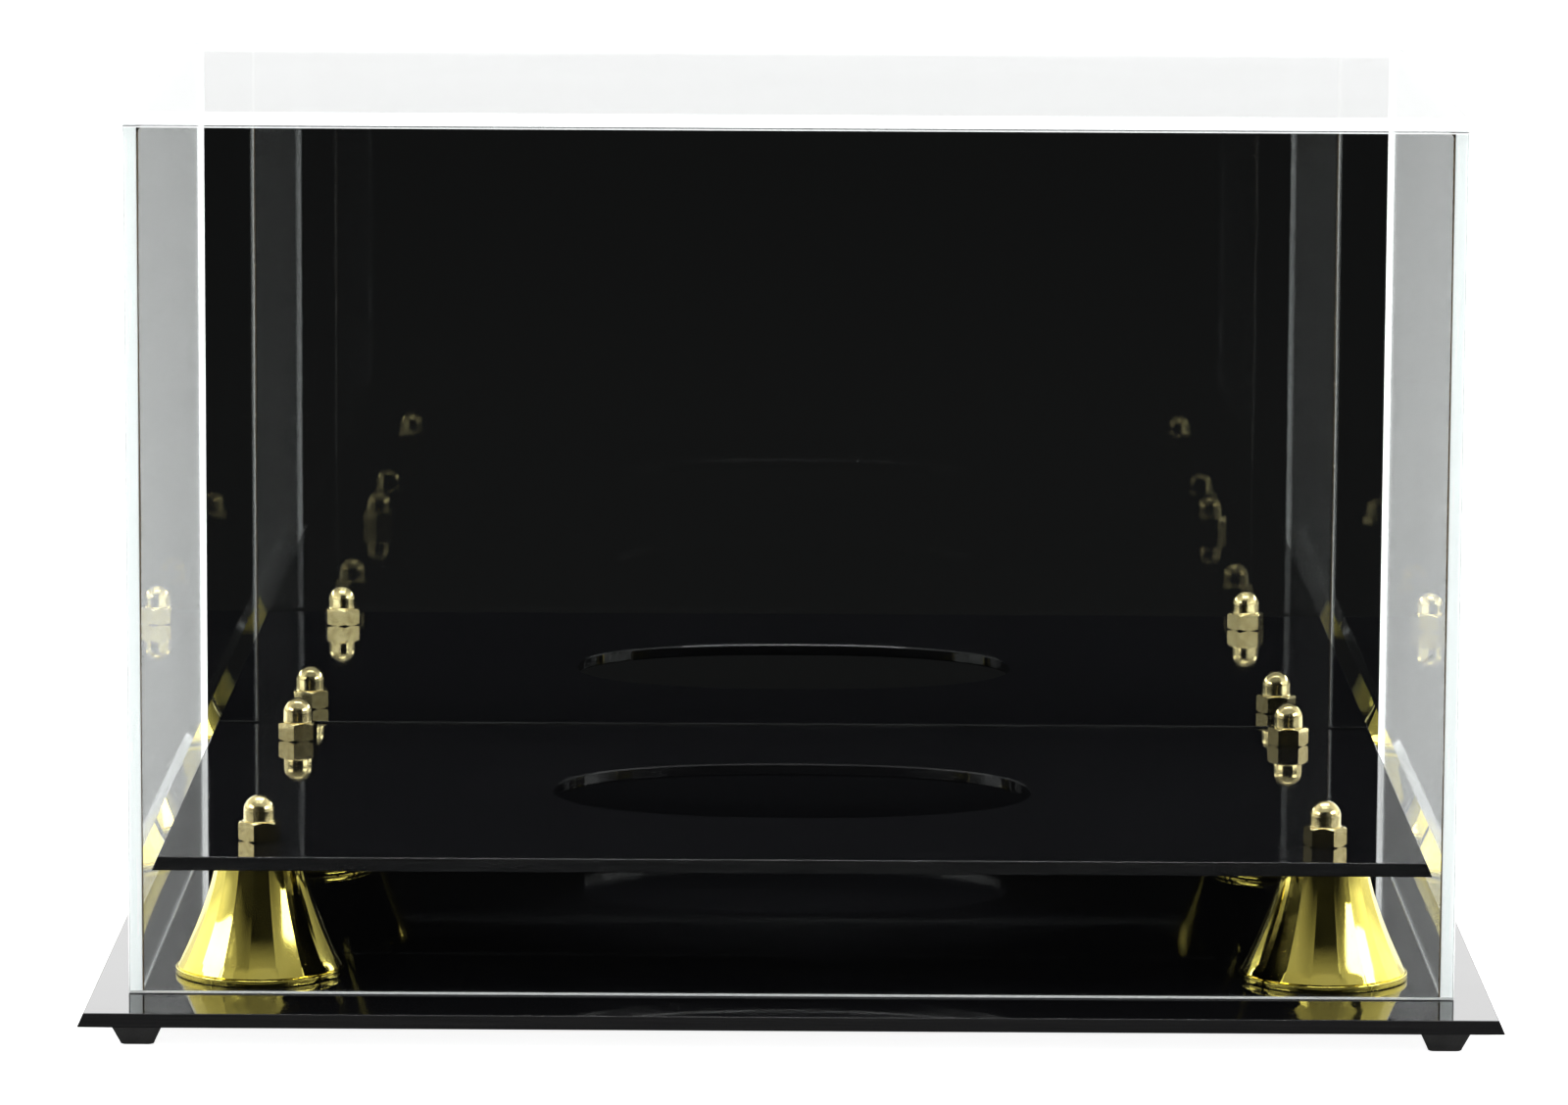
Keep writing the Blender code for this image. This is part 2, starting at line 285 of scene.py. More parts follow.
def scratches(tree, scale=(6, 260, 260)):
    """Hairline scratches in two directions, as a height from 0 to 1."""
    lines = []
    for turned in (scale, (scale[1], scale[0], scale[2])):
        grain = noise(tree, object_coordinates(tree, turned), 3.0, 4.0, 0.7)
        lines.append(spread(tree, grain, 0.62, 0.7, 0.0, 1.0))
    return combine(tree, "MAXIMUM", *lines)


# Looks

def clear_look(name, roughness_low, roughness_high):
    """Clear cast acrylic. Light that only passes through to light what is behind it isn't bent."""
    look, tree = new_tree(name)
    smears = noise(tree, object_coordinates(tree), 22.0, 4.0, 0.6)
    roughness = spread(tree, smears, 0.58, 0.8, roughness_low, roughness_high)
    ripple = noise(tree, object_coordinates(tree), 14.0, 1.0)
    inputs = {
        "Color": (0.985, 0.992, 0.99, 1),
        "Roughness": roughness,
        "IOR": 1.49,
        "Normal": bump(tree, ripple, 0.02 * MM),
    }
    glass = add(tree, "ShaderNodeBsdfGlass", inputs).outputs[0]
    through = add(tree, "ShaderNodeBsdfTransparent", {"Color": (0.95, 0.96, 0.96, 1)}).outputs[0]
    path = add(tree, "ShaderNodeLightPath")
    shadow = path.outputs["Is Shadow Ray"]
    output(tree, add(tree, "ShaderNodeMixShader", {0: shadow, 1: glass, 2: through}).outputs[0])
    return look


def edge_look(name, glow):
    """A cut edge of clear acrylic, scraped and polished. Given a glow, it has a painted glow, an emission
    that stands in for light piped along the sheet.
    """
    look, tree = new_tree(name)
    grain = noise(tree, object_coordinates(tree, (900, 900, 60)), 1.0, 3.0)
    colour = blend_colours(tree, grain, (0.74, 0.765, 0.77), (0.83, 0.845, 0.84))
    inputs = {
        "Base Color": colour,
        "Roughness": spread(tree, grain, 0.3, 0.7, 0.12, 0.3),
        "IOR": 1.49,
        "Transmission Weight": 0.15,
        # Painted glow: this emission stands in for light piped along the sheet. The edge is no lamp.
        "Emission Color": colour,
        "Emission Strength": glow,
        "Normal": bump(tree, grain, 0.01 * MM),
    }
    output(tree, add(tree, "ShaderNodeBsdfPrincipled", inputs).outputs[0])
    return look


def bead_look(name):
    """Dried cement, a little browned."""
    look, tree = new_tree(name)
    stain = noise(tree, object_coordinates(tree), 700.0, 3.0)
    inputs = {
        "Base Color": blend_colours(tree, stain, (0.05, 0.035, 0.02), (0.2, 0.15, 0.09)),
        "Roughness": spread(tree, stain, 0.3, 0.7, 0.1, 0.3),
        "IOR": 1.49,
        "Transmission Weight": 0.35,
    }
    output(tree, add(tree, "ShaderNodeBsdfPrincipled", inputs).outputs[0])
    return look


def black_look(name):
    """Black acrylic with a mirror gloss, a little dust and hairline scratches."""
    look, tree = new_tree(name)
    dust = noise(tree, object_coordinates(tree), 2600.0, 1.0)
    specks = spread(tree, dust, 0.79, 0.82, 0.0, 1.0)
    colour = blend_colours(tree, specks, (0.0025, 0.0025, 0.0028), (0.06, 0.06, 0.058))
    smears = noise(tree, object_coordinates(tree), 16.0, 5.0, 0.62)
    roughness = spread(tree, smears, 0.45, 0.75, 0.025, 0.085)
    height = combine(tree, "ADD", scratches(tree), specks)
    inputs = {
        "Base Color": colour,
        "Roughness": roughness,
        "IOR": 1.49,
        "Normal": bump(tree, height, 0.001 * MM),
    }
    output(tree, add(tree, "ShaderNodeBsdfPrincipled", inputs).outputs[0])
    return look


def black_edge_look(name):
    """The plate's sloping edge, cut and buffed, with fine tool marks along it."""
    look, tree = new_tree(name)
    marks = noise(tree, object_coordinates(tree, (40, 40, 5200)), 1.0, 3.0)
    colour = blend_colours(tree, marks, (0.0015, 0.0015, 0.0018), (0.005, 0.005, 0.005))
    roughness = spread(tree, marks, 0.3, 0.7, 0.08, 0.2)
    inputs = {
        "Base Color": colour,
        "Roughness": roughness,
        "IOR": 1.49,
        "Normal": bump(tree, marks, 0.006 * MM),
    }
    output(tree, add(tree, "ShaderNodeBsdfPrincipled", inputs).outputs[0])
    return look


def mirror_look(name):
    """Mirrored acrylic: bright, slightly wavy, with faint smears."""
    look, tree = new_tree(name)
    waves = noise(tree, object_coordinates(tree), 9.0, 1.0)
    smears = noise(tree, object_coordinates(tree), 30.0, 4.0, 0.6)
    colour = blend_colours(tree, smears, (0.86, 0.875, 0.87), (0.82, 0.835, 0.83))
    roughness = spread(tree, smears, 0.55, 0.8, 0.006, 0.03)
    inputs = {
        "Base Color": colour,
        "Metallic": 1.0,
        "Roughness": roughness,
        "Normal": bump(tree, waves, 0.05 * MM),
    }
    output(tree, add(tree, "ShaderNodeBsdfPrincipled", inputs).outputs[0])
    return look


def backing_look(name):
    """Grey protective paint on the mirror's back, rolled on and slightly mottled."""
    look, tree = new_tree(name)
    mottle = noise(tree, object_coordinates(tree), 160.0, 5.0, 0.6)
    streaks = noise(tree, object_coordinates(tree, (30, 30, 4)), 1.0, 2.0)
    share = combine(tree, "MULTIPLY", mottle, streaks)
    colour = blend_colours(tree, share, (0.2, 0.205, 0.21), (0.3, 0.305, 0.31))
    grit = noise(tree, object_coordinates(tree), 1800.0, 3.0)
    inputs = {
        "Base Color": colour,
        "Roughness": spread(tree, mottle, 0.3, 0.7, 0.45, 0.62),
        "Normal": bump(tree, grit, 0.02 * MM),
    }
    output(tree, add(tree, "ShaderNodeBsdfPrincipled", inputs).outputs[0])
    return look


def gold_look(name):
    """Bright gold metallised plastic: mirror gloss, faint orange peel and a few pits."""
    look, tree = new_tree(name)
    peel = noise(tree, object_coordinates(tree), 420.0, 2.0)
    pits = spread(tree, noise(tree, object_coordinates(tree), 2400.0, 1.0), 0.74, 0.8, 0.0, 1.0)
    tone = noise(tree, object_coordinates(tree), 90.0, 3.0)
    plating = blend_colours(tree, tone, (0.94, 0.77, 0.14), (0.97, 0.82, 0.2))
    colour = blend_colours(tree, pits, plating, (0.55, 0.4, 0.12))
    height = combine(tree, "SUBTRACT", peel, pits)
    inputs = {
        "Base Color": colour,
        "Metallic": 1.0,
        "Roughness": spread(tree, tone, 0.35, 0.7, 0.035, 0.09),
        "Normal": bump(tree, height, 0.006 * MM),
    }
    output(tree, add(tree, "ShaderNodeBsdfPrincipled", inputs).outputs[0])
    return look


def brass_look(name, roughness_low, roughness_high, groove):
    """Turned brass plating: fine rings round the axis and slightly darker stains."""
    look, tree = new_tree(name)
    rings = noise(tree, object_coordinates(tree, (120, 120, 9000)), 1.0, 2.0)
    stain = noise(tree, object_coordinates(tree), 480.0, 4.0, 0.6)
    share = spread(tree, stain, 0.35, 0.75, 0.0, 1.0)
    colour = blend_colours(tree, share, (0.86, 0.74, 0.38), (0.62, 0.5, 0.22))
    inputs = {
        "Base Color": colour,
        "Metallic": 1.0,
        "Roughness": spread(tree, stain, 0.3, 0.7, roughness_low, roughness_high),
        "Normal": bump(tree, rings, groove * MM),
    }
    output(tree, add(tree, "ShaderNodeBsdfPrincipled", inputs).outputs[0])
    return look


def rubber_look(name):
    """Moulded black rubber with a fine matt grain."""
    look, tree = new_tree(name)
    grain = noise(tree, object_coordinates(tree), 2200.0, 4.0, 0.6)
    bloom = noise(tree, object_coordinates(tree), 240.0, 3.0)
    inputs = {
        "Base Color": blend_colours(tree, bloom, (0.008, 0.008, 0.008), (0.022, 0.022, 0.021)),
        "Roughness": spread(tree, grain, 0.3, 0.7, 0.5, 0.75),
        "Normal": bump(tree, grain, 0.03 * MM),
    }
    output(tree, add(tree, "ShaderNodeBsdfPrincipled", inputs).outputs[0])
    return look


# Cover

def build_panel(node, face_look, edge):
    """A sheet with rounded, polished edges. Its sides and top edge take the edge's look."""
    low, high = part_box(node)
    if not node.startswith("cover_top"):
        low.z -= WALL_DROP
    extent = high - low
    thin = min(range(3), key=lambda axis: extent[axis])
    mesh = block(extent)
    round_edges(mesh, PANEL_EDGE_RADIUS)
    mesh.normal_update()
    for face in mesh.faces:
        underside = face.normal.z < -0.99
        face.material_index = int(abs(face.normal[thin]) < 0.99 and not underside)
    data = mesh_data(node, mesh, [face_look, edge])
    place_piece(node.replace("_panel", "_sheet"), data, (low + high) / 2, "cover", node)


def build_seam(name, low, high, look):
    """The thin layer of cement between two panels."""
    low, high = Vector(low), Vector(high)
    data = mesh_data(name, block(high - low), [look])
    place_piece(name, data, (low + high) / 2, "cover")


def build_seams(look):
    """Cement along the upright corners and under the top panel's rim."""
    front_low, front_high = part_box("cover_front_panel")
    back_low, back_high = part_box("cover_back_panel")
    top_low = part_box("cover_top_panel")[0]

    def build_top_seam(end, low, high):
        build_seam(
            f"cement_top_{end}",
            (low.x + SEAM_INSET, low.y + SEAM_INSET, high.z + SEAM_INSET),
            (high.x - SEAM_INSET, high.y - SEAM_INSET, top_low.z - SEAM_INSET),
            look,
        )

    for side in ("left", "right"):
        low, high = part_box(f"cover_{side}_panel")
        gaps = {"front": (front_high.y, low.y), "back": (high.y, back_low.y)}
        for end, (start, stop) in gaps.items():
            build_seam(
                f"cement_{end}_{side}",
                (low.x + SEAM_INSET, start + SEAM_INSET, low.z),
                (high.x - SEAM_INSET, stop - SEAM_INSET, high.z - SEAM_INSET),
                look,
            )
        build_top_seam(side, low, high)
    build_top_seam("front", front_low, front_high)
    build_top_seam("back", back_low, back_high)


def corner_profile(radius, height, along_x, along_y, hollow):
    """Outline of a bead in a corner: its two straight legs, and an arc that bows in or out."""
    points = [(0, 0, height)]
    for step in range(7):
        angle = math.pi / 2 * step / 6
        if hollow:
            x, y = radius * (1 - math.sin(angle)), radius * (1 - math.cos(angle))
        else:
            x, y = radius * math.cos(angle), radius * math.sin(angle)
        points.append((along_x * x, along_y * y, height))
    return points


def build_beads(look):
    """Cement squeezed out in the cover's inner front corners: a thin fillet and a drop at its top."""
    inner_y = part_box("cover_front_panel")[1].y + CONTACT_GAP
    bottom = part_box("cover_front_panel")[0].z
    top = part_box("cover_top_panel")[0].z - CONTACT_GAP
    sides = {
        "left": (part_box("cover_left_panel")[1].x + CONTACT_GAP, 1),
        "right": (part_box("cover_right_panel")[0].x - CONTACT_GAP, -1),
    }
    length = top - bottom - 2 * BEAD_RADIUS
    for side, (inner_x, inward) in sides.items():
        fillet = loft([
            corner_profile(BEAD_RADIUS * share, length * up, inward, 1, True)
            for share, up in ((1.0, 0.0), (0.7, 0.3), (1.1, 0.55), (0.8, 0.8), (1.2, 1.0))
        ])
        data = mesh_data("cement_fillet", fillet, [look])
        place_piece(f"cement_fillet_{side}", data, (inner_x, inner_y, bottom), "cover")
        angles = [math.radians(turn) for turn in (0, 20, 40, 60, 75, 86)]
        drop = loft([
            corner_profile(DROP_RADIUS * math.cos(angle), -DROP_LENGTH * math.sin(angle), inward, 1, False)
            for angle in angles
        ])
        data = mesh_data("cement_drop", drop, [look])
        place_piece(f"cement_drop_{side}", data, (inner_x, inner_y, top), "cover")


def build_mirror(front, edge, back):
    """Mirrored sheet: bright face, polished edges and a painted back."""
    mesh = block(size("mirror_panel"))
    round_edges(mesh, MIRROR_EDGE_RADIUS, 2)
    mesh.normal_update()
    for face in mesh.faces:
        if face.normal.y < -0.99:
            face.material_index = 0
        elif face.normal.y > 0.99:
            face.material_index = 2
        else:
            face.material_index = 1
    data = mesh_data("mirror_sheet", mesh, [front, edge, back])
    place_piece("mirror_sheet", data, middle("mirror_panel"), "cover", "mirror_panel")


# Plates

def hole_cutter(reach, place, thickness, count, flare):
    """A hole through a plate centred on z = 0, with both of its rims eased."""
    half = thickness / 2

    def wider(amount):
        return lambda angle: reach(angle) + amount

    loops = [
        ring(wider(flare + half), -half * 2, count),
        ring(wider(flare), -half, count),
        ring(wider(0), -half + flare, count),
        ring(wider(0), half - flare, count),
        ring(wider(flare), half, count),
        ring(wider(flare + half), half * 2, count),
    ]
    cutter = loft(loops)
    bmesh.ops.translate(cutter, verts=cutter.verts, vec=place)
    return cutter


def edge_slope(node):
    """How far a plate's sloping edge leans in from its lower to its upper face."""
    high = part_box(node)[1]
    points = [vertex.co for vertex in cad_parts[node].data.vertices]
    return high.x - max(point.x for point in points if point.z > high.z - 0.1 * MM)


def oval_reach():
    """Reach of the deck's cut-out by angle, a superellipse read off the CAD plate's own rim."""
    centre, extent = middle("deck_plate"), size("deck_plate")
    points = []
    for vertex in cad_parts["deck_plate"].data.vertices:
        x, y = abs(vertex.co.x - centre.x), abs(vertex.co.y - centre.y)
        if x < 0.2 * extent.x + 1 * MM and y < 0.25 * extent.y:
            points.append((x, y))
    half_length = max(x for x, y in points)
    half_width = max(y for x, y in points)

    def reach(angle):
        along = abs(math.cos(angle) / half_length) ** OVAL_POWER
        across = abs(math.sin(angle) / half_width) ** OVAL_POWER
        return (along + across) ** (-1 / OVAL_POWER)

    return reach


def build_plate(node, name, looks, holes):
    """A black plate with sloping edges. Holes are cutters placed from the plate's middle."""
    extent = size(node)
    slope = edge_slope(node)
    half = extent.z / 2
    mesh = loft([
        rectangle(extent.x, extent.y, -half),
        rectangle(extent.x - 2 * slope, extent.y - 2 * slope, half),
    ])
    round_edges(mesh, PLATE_EDGE_RADIUS)
    carved = carve(mesh, holes)
    carved.normal_update()
    for face in carved.faces:
        centre = face.calc_center_median()
        rim = 1.2 * slope
        on_rim = abs(centre.x) > extent.x / 2 - rim or abs(centre.y) > extent.y / 2 - rim
        face.material_index = int(on_rim and abs(face.normal.z) < 0.97)
    place_piece(name, mesh_data(name, carved, looks), middle(node), "base", node)


def build_plates(looks):
    """The base and the deck, each with four screw holes. The deck has the oval cut-out as well."""
    for node, name in (("base_plate", "base_board"), ("deck_plate", "deck_board")):
        centre, extent = middle(node), size(node)
        holes = []
        for corner in CORNERS:
            axis = middle(f"screw_{corner}")
            place = (axis.x - centre.x, axis.y - centre.y, 0)
            holes.append(hole_cutter(lambda angle: CLEARANCE_HOLE_RADIUS, place, extent.z, 40, 0.2 * MM))
        if node == "deck_plate":
            holes.append(hole_cutter(oval_reach(), (0, 0, 0), extent.z, 160, 0.35 * MM))
        build_plate(node, name, looks, holes)


# Risers

def riser_mesh(look):
    """A hollow fluted bell standing on z = 0, from the base plate up to the deck."""
    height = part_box("deck_plate")[0].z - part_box("base_plate")[1].z - 2 * CONTACT_GAP
    foot_radius = size("riser_front_left").x / 2
    count = FLUTES * FLUTE_POINTS
    cap = 2.5 * MM

    def over_ridges(z):
        rise = max(0.0, min(1.0, (z - LIP_HEIGHT) / (height - LIP_HEIGHT)))
        return RISER_TOP_RADIUS + (foot_radius - LIP_STEP - RISER_TOP_RADIUS) * (1 - rise) ** RISER_FLARE

    def fluted(z, share=1.0):
        radius = over_ridges(z)
        depth = share * FLUTE_DEPTH * radius / foot_radius
        return lambda angle: radius - depth * abs(math.sin(FLUTES * angle / 2)) ** RIDGE_SHARPNESS

    loops = []
    rounding = 0.3 * MM
    for start, middle_z in ((-90, rounding), (0, LIP_HEIGHT - rounding)):
        for step in range(6):
            angle = math.radians(start + 90 * step / 5)
            radius = foot_radius - rounding * (1 - math.cos(angle))
            loops.append(ring(radius, middle_z + rounding * math.sin(angle), count))
    loops.append(ring(over_ridges(LIP_HEIGHT) - 0.2 * MM, LIP_HEIGHT + 0.02 * MM, count))
    rows = 30
    for step in range(rows + 1):
        z = LIP_HEIGHT + 0.25 * MM + (height - LIP_HEIGHT - 0.55 * MM) * step / rows
        loops.append(ring(fluted(z, min(1.0, 0.35 + step / 3)), z, count))
    loops.append(ring(RISER_TOP_RADIUS - 0.3 * MM, height, count))
    loops.append(ring(CLEARANCE_HOLE_RADIUS, height, count))
    loops.append(ring(CLEARANCE_HOLE_RADIUS, height - cap, count))
    for step in range(9):
        z = (height - cap) * (1 - step / 8)
        loops.append(ring(over_ridges(max(z, LIP_HEIGHT)) - FLUTE_DEPTH - RISER_WALL, z, count))
    return mesh_data("riser", loft(loops, ends="joined"), [look], 14)


def build_risers(look):
    """Four bells, each turned by a little, as they are screwed down by hand."""
    data = riser_mesh(look)
    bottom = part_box("base_plate")[1].z + CONTACT_GAP
    for corner, turn in zip(CORNERS, RISER_TURNS):
        node = f"riser_{corner}"
        centre = middle(node)
        place = (centre.x, centre.y, bottom)
        place_piece(f"fluted_riser_{corner}", data, place, "base", node, turn)


# Fasteners

def build_screws(look):
    """Pan-head screws with a cross recess and a rolled thread, heads under the base plate."""
    low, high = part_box("screw_front_left")
    length = high.z - low.z
    head_radius = size("screw_front_left").x / 2
    head_height = 2.6 * MM
    shank_radius = 2.08 * MM
    points = 14
    loops = [[(0, 0, 0)]]
    for turn in (20, 40, 55, 70, 82, 90):
        angle = math.radians(turn)
        loops.append(ring(head_radius * math.sin(angle), head_height * (1 - math.cos(angle)), points))
    loops.append(ring(shank_radius, head_height, points))

    def thread(z):
        def reach(angle):
            phase = (z / THREAD_PITCH - angle / (2 * math.pi)) % 1
            return shank_radius - THREAD_DEPTH * (1 - abs(2 * phase - 1))
        return reach

    rows_per_turn = 5
    tip = length - 0.5 * MM
    rows = int((tip - head_height) / THREAD_PITCH * rows_per_turn)
    for step in range(1, rows + 1):
        z = head_height + (tip - head_height) * step / rows
        loops.append(ring(thread(z), z, points))
    loops.append(ring(shank_radius - THREAD_DEPTH, length, points))
    loops.append([(0, 0, length)])
    span, width, depth = 4.4 * MM, 1.1 * MM, 1.5 * MM
    cross = []
    for z, share in ((-1 * MM, 1.15), (0, 1.05), (depth, 0.55)):
        far, near = span * share / 2, width * share / 2
        arm = [(far, -near), (far, near), (near, near)]
        turns = ((1, 0), (0, 1), (-1, 0), (0, -1))
        cross.append([(x * c - y * s, x * s + y * c, z) for c, s in turns for x, y in arm])
    data = mesh_data("screw", carve(loft(loops, ends="poles"), [loft(cross)]), [look], 35)
    for corner in CORNERS:
        node = f"screw_{corner}"
        centre = middle(node)
        place = (centre.x, centre.y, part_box(node)[0].z)
        place_piece(f"machine_screw_{corner}", data, place, "base", node)


def build_nuts(looks):
    """Acorn nuts: chamfered hexagon, short neck, turned dome and a blind thread hole."""
    deck_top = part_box("deck_plate")[1].z
    low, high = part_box("acorn_nut_front_left")
    flats = high.x - low.x
    height = high.z - deck_top - CONTACT_GAP
    hex_height = 4.5 * MM
    corner_radius = flats / 2 / math.cos(math.pi / 6)
    chamfer = 0.62 * MM
    slope = 0.62
    dome_radius = flats / 2 - 0.7 * MM
    bore = 2.4 * MM
    depth = 5.8 * MM
    points = 72
    sector = math.pi / 3

    def hexagon(limit):
        def reach(angle):
            full = flats / 2 / math.cos((angle + sector / 2) % sector - sector / 2)
            return min(full, limit)
        return reach

    loops = [
        [(0, 0, depth)],
        ring(bore, depth, points),
        ring(bore, 0.4 * MM, points),
        ring(bore + 0.35 * MM, 0, points),
    ]
    chamfer_rows = 6
    for step in range(chamfer_rows + 1):
        share = step / chamfer_rows
        loops.append(ring(hexagon(corner_radius - chamfer * (1 - share)), chamfer * slope * share, points))
    for step in range(chamfer_rows + 1):
        share = step / chamfer_rows
        z = hex_height - chamfer * slope * (1 - share)
        loops.append(ring(hexagon(corner_radius - chamfer * share), z, points))
    for out, up in ((0.4, 0.0), (0.16, 0.08), (0.05, 0.22), (0.0, 0.5)):
        loops.append(ring(dome_radius + out * MM, hex_height + up * MM, points))
    dome_base = height - dome_radius
    rows = 14
    for step in range(rows):
        angle = math.pi / 2 * step / rows
        loops.append(ring(dome_radius * math.cos(angle), dome_base + dome_radius * math.sin(angle), points))
    loops.append([(0, 0, height)])
    mesh = loft(loops, ends="poles")
    for face in mesh.faces:
        face.material_index = int(face.calc_center_median().z < hex_height - 0.01 * MM)
    data = mesh_data("acorn_nut", mesh, looks, 24)
    for corner, turn in zip(CORNERS, NUT_TURNS):
        node = f"acorn_nut_{corner}"
        centre = middle(node)
        place = (centre.x, centre.y, deck_top + CONTACT_GAP)
        place_piece(f"cap_nut_{corner}", data, place, "base", node, turn)


# Feet

def rounded_square(side, radius, height, steps=6):
    """A square outline with rounded corners."""
    centre = side / 2 - radius
    points = []
    for quarter in range(4):
        diagonal = math.pi / 4 + quarter * math.pi / 2
        x = centre * math.copysign(1, math.cos(diagonal))
        y = centre * math.copysign(1, math.sin(diagonal))
        for step in range(steps + 1):
            angle = (quarter + step / steps) * math.pi / 2
            points.append((x + radius * math.cos(angle), y + radius * math.sin(angle), height))
    return points


def build_feet(look):
    """Moulded bumpers: tapered sides, a rounded lower rim and a slightly dished underside."""
    low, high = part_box("foot_front_left")
    top_side = high.x - low.x
    bottom_side = 7.8 * MM
    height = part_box("base_plate")[0].z - CONTACT_GAP
    rim = 0.5 * MM
    loops = []
    for inset, z in ((1.6 * MM, 0.12 * MM), (0.9 * MM, 0.0)):
        side = bottom_side - 2 * inset
        loops.append(rounded_square(side, 0.8 * MM, z))
    for step in range(5):
        angle = math.pi / 2 * step / 4
        side = bottom_side - 2 * rim * (1 - math.sin(angle))
        loops.append(rounded_square(side, 1.2 * MM, rim * (1 - math.cos(angle))))
    rows = 4
    for step in range(1, rows + 1):
        share = step / rows
        side = bottom_side + (top_side - bottom_side) * share
        loops.append(rounded_square(side, 1.2 * MM, rim + (height - rim) * share))
    data = mesh_data("bumper", loft(loops), [look], 40)
    for corner in CORNERS:
        node = f"foot_{corner}"
        centre = middle(node)
        place_piece(f"bumper_{corner}", data, (centre.x, centre.y, 0), "base", node)


# Studio

def in_reflections(tree):
    """1 for light that reaches the camera by way of a glossy surface, 0 for any other."""
    path = add(tree, "ShaderNodeLightPath")
    return combine(tree, "GREATER_THAN", path.outputs["Glossy Depth"], 0.5)


def build_floor():
    """A pale floor that gives off light. Seen only in reflections, it has painted shade: grey round the
    case's front, near-black straight ahead, a stand-in for a dark room.
    """
    look, tree = new_tree("studio_floor")
    where = add(tree, "ShaderNodeSeparateXYZ", {0: object_coordinates(tree)}).outputs
    ahead = spread(tree, where["Y"], -0.06, -0.115, 0.0, 1.0)
    across = combine(tree, "ABSOLUTE", where["X"], 0.0)
    widening = combine(tree, "MULTIPLY", where["Y"], 0.6)
    wedge = spread(tree, combine(tree, "ADD", across, widening), 0.2, 0.34, 1.0, 0.0)
    reflected = in_reflections(tree)
    # Painted reflection: for glossy rays only, the floor's colour turns grey near the case and near-black
    # ahead of it, and its glow goes dark round the front
    dark = combine(tree, "MULTIPLY", combine(tree, "MULTIPLY", ahead, wedge), reflected)
    near = combine(tree, "MULTIPLY", reflected, spread(tree, where["Y"], 0.2, 0.0, 0.0, 1.0))
    grain = noise(tree, object_coordinates(tree), 60.0, 4.0)
    pale = blend_colours(tree, grain, (0.9, 0.9, 0.9), (0.93, 0.93, 0.93))
    muted = blend_colours(tree, near, pale, (0.5, 0.5, 0.5))
    colour = blend_colours(tree, dark, muted, (0.004, 0.004, 0.004))
    glow = blend_colours(tree, near, pale, (0.003, 0.003, 0.003))
    inputs = {
        "Base Color": colour,
        "Roughness": 0.9,
        "Specular IOR Level": 0.0,
        "Emission Color": glow,
        "Emission Strength": 1.0,
    }
    output(tree, add(tree, "ShaderNodeBsdfPrincipled", inputs).outputs[0])
    mesh = bmesh.new()
    bmesh.ops.create_circle(mesh, cap_ends=True, radius=FLOOR_RADIUS, segments=96)
    floor = bpy.data.objects.new("studio_floor", mesh_data("studio_floor", mesh, [look]))
    bpy.context.scene.collection.objects.link(floor)


def build_world():
    """Pale surroundings. Reflections find a bright back and sides, and a dark room ahead."""
    world = bpy.data.worlds.new("studio_world")
    bpy.context.scene.world = world
    world.use_nodes = True
    tree = world.node_tree
    tree.nodes.clear()
    coordinates = add(tree, "ShaderNodeTexCoord").outputs["Generated"]
    direction = add(tree, "ShaderNodeSeparateXYZ", {0: coordinates}).outputs
    aside = spread(tree, direction["Y"], -0.78, -0.55, 0.0, 0.35)
    ceiling = spread(tree, direction["Z"], 0.56, 0.66, 0.0, 0.34)
    backdrop = spread(tree, direction["Z"], 0.12, 0.2, 1.0, 1.75)
    fall_off = spread(tree, direction["Z"], 0.3, 0.75, 0.0, 0.9)
    backdrop = combine(tree, "SUBTRACT", backdrop, fall_off)
    backdrop = combine(tree, "MULTIPLY", backdrop, spread(tree, direction["Y"], 0.3, 0.8, 0.85, 1.0))
    backdrop = combine(tree, "MULTIPLY", backdrop, spread(tree, direction["Y"], -0.45, -0.05, 0.0, 1.0))
    level = combine(tree, "MAXIMUM", combine(tree, "MAXIMUM", aside, ceiling), backdrop)
    room = blend_colours(tree, level, (0.006, 0.006, 0.007), (1.0, 1.0, 1.0))
    colour = blend_colours(tree, in_reflections(tree), (1.0, 1.0, 1.0), room)
    background = add(tree, "ShaderNodeBackground", {"Color": colour, "Strength": WORLD_STRENGTH})
    add(tree, "ShaderNodeOutputWorld", {"Surface": background.outputs[0]})


def add_softbox(name, place, target, width, height, power):
    """A rectangular lamp of a size in metres and a power in watts, aimed at its target."""
    light = bpy.data.lights.new(name, "AREA")
    light.shape = "RECTANGLE"
    light.size = width
    light.size_y = height
    light.energy = power
    lamp = bpy.data.objects.new(name, light)
    lamp.location = place
    lamp.rotation_euler = (Vector(target) - Vector(place)).to_track_quat("-Z", "Y").to_euler()
    lamp.visible_camera = False
    bpy.context.scene.collection.objects.link(lamp)


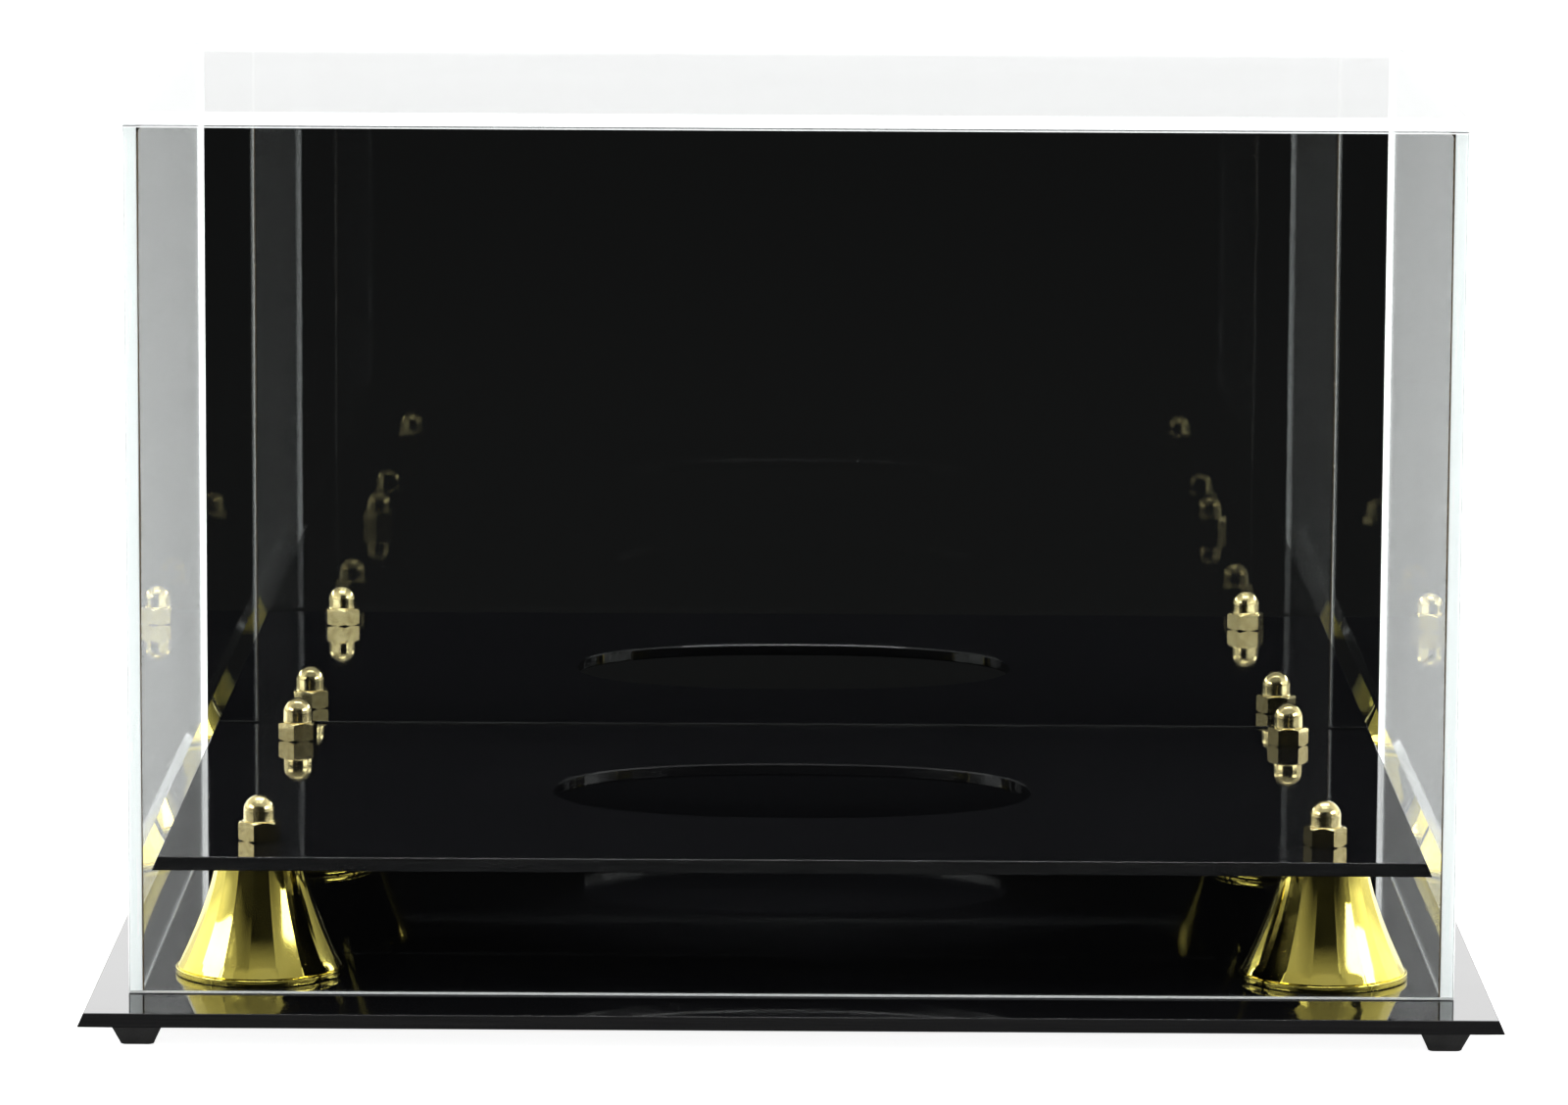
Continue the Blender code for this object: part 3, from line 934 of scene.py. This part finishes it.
def build_lights():
    """Two softboxes low at the sides, which put the highlights on the risers, and one overhead."""
    add_softbox("softbox_left", (-1.08, -0.52, 0.59), (-0.12, -0.06, 0.02), 0.85, 0.3, 4.5)
    add_softbox("softbox_right", (1.0, -0.5, 0.55), (0.12, -0.06, 0.02), 0.75, 0.3, 4.5)
    add_softbox("softbox_top", (0, 0.5, 2.2), (0, 0, 0.1), 1.6, 1.0, 18)


def build_camera():
    """A long lens from in front and a little above, tilted down by its pitch."""
    camera = bpy.data.objects.new("camera", bpy.data.cameras.new("camera"))
    camera.data.lens = CAMERA_LENS
    camera.data.sensor_width = 36
    pitch, yaw, roll = (math.radians(angle) for angle in (CAMERA_PITCH, CAMERA_YAW, CAMERA_ROLL))
    level = Matrix.Rotation(math.pi / 2 - pitch, 3, "X")
    turned = Matrix.Rotation(yaw, 3, "Z") @ level @ Matrix.Rotation(roll, 3, "Z")
    camera.matrix_world = Matrix.Translation(CAMERA_PLACE) @ turned.to_4x4()
    camera.data.clip_end = 50
    bpy.context.scene.collection.objects.link(camera)
    bpy.context.scene.camera = camera


def build_case():
    """Make the looks and put every piece of the case in place."""
    edge = edge_look("acrylic_edge", 0.0)
    # The side panels' edges get a painted glow that stands in for light piped along the sheet
    wall_edge_painted_glow = edge_look("acrylic_wall_edge", 0.7)
    clear = clear_look("acrylic_sheet", 0.0, 0.02)
    dome = brass_look("dome_brass", 0.08, 0.15, 0.005)
    hexagon = brass_look("hexagon_brass", 0.06, 0.13, 0.0015)
    for node in sorted(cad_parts):
        if node.startswith("cover_"):
            build_panel(node, clear, wall_edge_painted_glow if node in WALL_PANELS else edge)
    build_seams(clear_look("acrylic_cement", 0.02, 0.12))
    build_beads(bead_look("dried_cement"))
    build_mirror(mirror_look("mirror_face"), edge, backing_look("mirror_backing"))
    build_plates([black_look("black_acrylic_face"), black_edge_look("black_acrylic_edge")])
    build_risers(gold_look("gold_plating"))
    build_screws(brass_look("screw_brass", 0.16, 0.3, 0.008))
    build_nuts([dome, hexagon])
    build_feet(rubber_look("foot_rubber"))


build_case()
build_floor()
build_world()
build_lights()
build_camera()
bpy.context.scene.view_settings.view_transform = "Standard"
